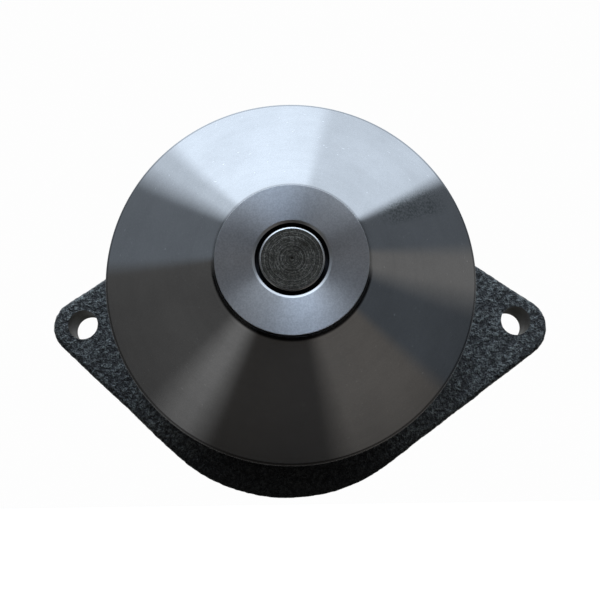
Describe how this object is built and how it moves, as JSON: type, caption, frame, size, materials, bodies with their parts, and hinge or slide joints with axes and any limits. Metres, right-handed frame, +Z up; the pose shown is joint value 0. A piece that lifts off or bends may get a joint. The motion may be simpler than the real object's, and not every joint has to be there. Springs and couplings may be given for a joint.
{
  "type": "engine coolant pump",
  "caption": "Belt-driven engine coolant pump: cast housing with two bolt ears, machined ribbed pulley with a conical face on a sealed bearing shaft, and a vaned impeller behind.",
  "frame": {"origin": "on the shaft axis, in the plane of the housing's machined mounting face", "axes": "+Y along the shaft axis from the pulley towards the engine block, +X along the line of the two bolt ears towards the longer ear, +Z up as the flange hangs with its deep edge down"},
  "size_m": [0.1482, 0.086, 0.1056],
  "materials": {
    "painted_casting": "satin",
    "machined_steel": "satin",
    "shaft_steel": "satin",
    "bearing_steel": "satin",
    "ball_steel": "polished",
    "spring_steel": "satin",
    "cage_polymer": "matte",
    "seal_rubber": "matte",
    "brass": "satin",
    "carbon": "matte",
    "seat_ceramic": "satin",
    "impeller_iron": "matte"
  },
  "bodies": {
    "housing": {"housing": "painted_casting", "bearing_outer_ring": "bearing_steel", "bearing_seal_front": "seal_rubber", "bearing_seal_rear": "seal_rubber", "seal_cup": "brass", "seal_bellows": "seal_rubber", "seal_spring": "spring_steel", "seal_spring_retainer": "shaft_steel", "seal_carbon_ring": "carbon", "mounting_seal_ring": "seal_rubber"},
    "rotor": {"bearing_shaft": "shaft_steel", "pulley": "machined_steel", "pulley_rim": "machined_steel", "slinger": "shaft_steel", "seal_seat": "seat_ceramic", "seal_seat_boot": "seal_rubber", "impeller": "impeller_iron"},
    "front_ball_set": {"bearing_cage_front": "cage_polymer", "ball_front_1": "ball_steel", "ball_front_2": "ball_steel", "ball_front_3": "ball_steel", "ball_front_4": "ball_steel", "ball_front_5": "ball_steel", "ball_front_6": "ball_steel", "ball_front_7": "ball_steel", "ball_front_8": "ball_steel"},
    "rear_ball_set": {"bearing_cage_rear": "cage_polymer", "ball_rear_1": "ball_steel", "ball_rear_2": "ball_steel", "ball_rear_3": "ball_steel", "ball_rear_4": "ball_steel", "ball_rear_5": "ball_steel", "ball_rear_6": "ball_steel", "ball_rear_7": "ball_steel", "ball_rear_8": "ball_steel"}
  },
  "joints": [
    {"name": "shaft_spin", "type": "hinge", "parent": "housing", "child": "rotor", "pos_m": [0, 0, 0], "axis": [0, 1, 0], "continuous": true},
    {"name": "front_ball_set_spin", "type": "hinge", "parent": "housing", "child": "front_ball_set", "pos_m": [0, -0.0405, 0], "axis": [0, 1, 0], "continuous": true},
    {"name": "rear_ball_set_spin", "type": "hinge", "parent": "housing", "child": "rear_ball_set", "pos_m": [0, -0.024, 0], "axis": [0, 1, 0], "continuous": true}
  ],
  "couplings": [
    {"joint": "front_ball_set_spin", "follows": "shaft_spin", "ratio": 0.3625},
    {"joint": "rear_ball_set_spin", "follows": "shaft_spin", "ratio": 0.3625}
  ]
}
